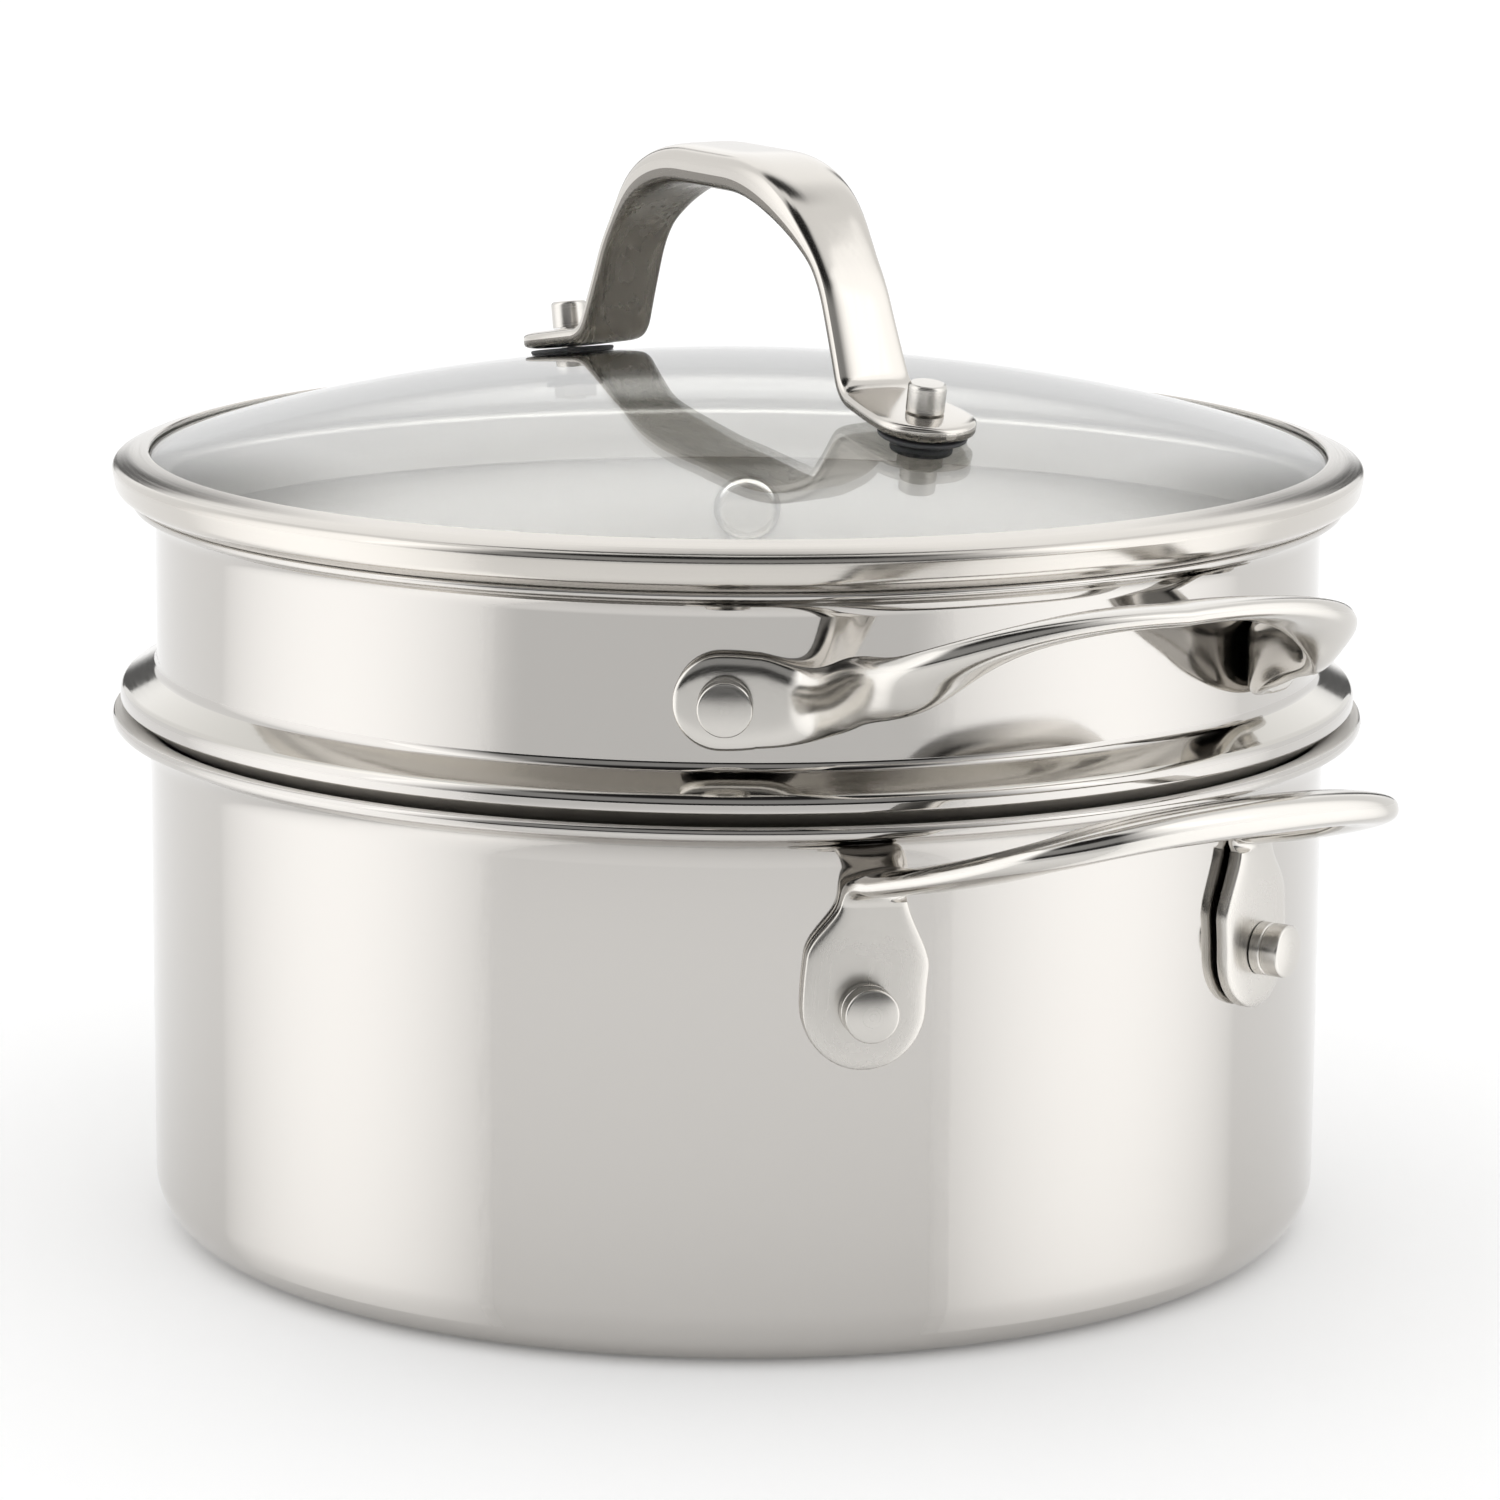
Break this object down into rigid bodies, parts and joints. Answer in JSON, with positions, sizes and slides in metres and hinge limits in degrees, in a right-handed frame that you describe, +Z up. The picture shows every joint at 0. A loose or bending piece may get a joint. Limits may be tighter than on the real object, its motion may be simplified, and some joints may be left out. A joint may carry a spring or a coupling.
{
  "type": "steamer saucepot",
  "caption": "Stainless steel saucepot with loop handles, a lift-in steamer basket and a domed glass lid.",
  "frame": {"origin": "centre of the underside of the pot's base", "axes": "+Z up, +X from the pot's axis towards one of its two handles, the one seen at the right of the picture"},
  "size_m": [0.3074, 0.2298, 0.1985],
  "materials": {
    "polished_steel": "polished stainless steel",
    "satin_steel": "satin stainless steel",
    "clear_glass": "clear tempered glass",
    "grey_silicone": "matte dark grey silicone"
  },
  "bodies": {
    "pot": {"pot_body": "polished_steel", "pot_handle_a": "polished_steel", "pot_handle_b": "polished_steel", "pot_rivet_a1": "satin_steel", "pot_rivet_a2": "satin_steel", "pot_rivet_b1": "satin_steel", "pot_rivet_b2": "satin_steel"},
    "steamer": {"steamer_body": "polished_steel", "steamer_handle_a": "polished_steel", "steamer_handle_b": "polished_steel", "steamer_rivet_a1": "satin_steel", "steamer_rivet_a2": "satin_steel", "steamer_rivet_b1": "satin_steel", "steamer_rivet_b2": "satin_steel"},
    "lid": {"lid_glass": "clear_glass", "lid_rim": "satin_steel", "lid_handle": "satin_steel", "lid_stud_1": "satin_steel", "lid_stud_2": "satin_steel", "lid_gasket_1": "grey_silicone", "lid_gasket_2": "grey_silicone", "lid_washer_1": "grey_silicone", "lid_washer_2": "grey_silicone", "lid_nut_1": "satin_steel", "lid_nut_2": "satin_steel"}
  },
  "joints": [
    {"name": "steamer_lift", "type": "slide", "parent": "pot", "child": "steamer", "axis": [0, 0, 1], "range_m": [0, 0.12]},
    {"name": "lid_lift", "type": "slide", "parent": "steamer", "child": "lid", "axis": [0, 0, 1], "range_m": [0, 0.1]}
  ]
}
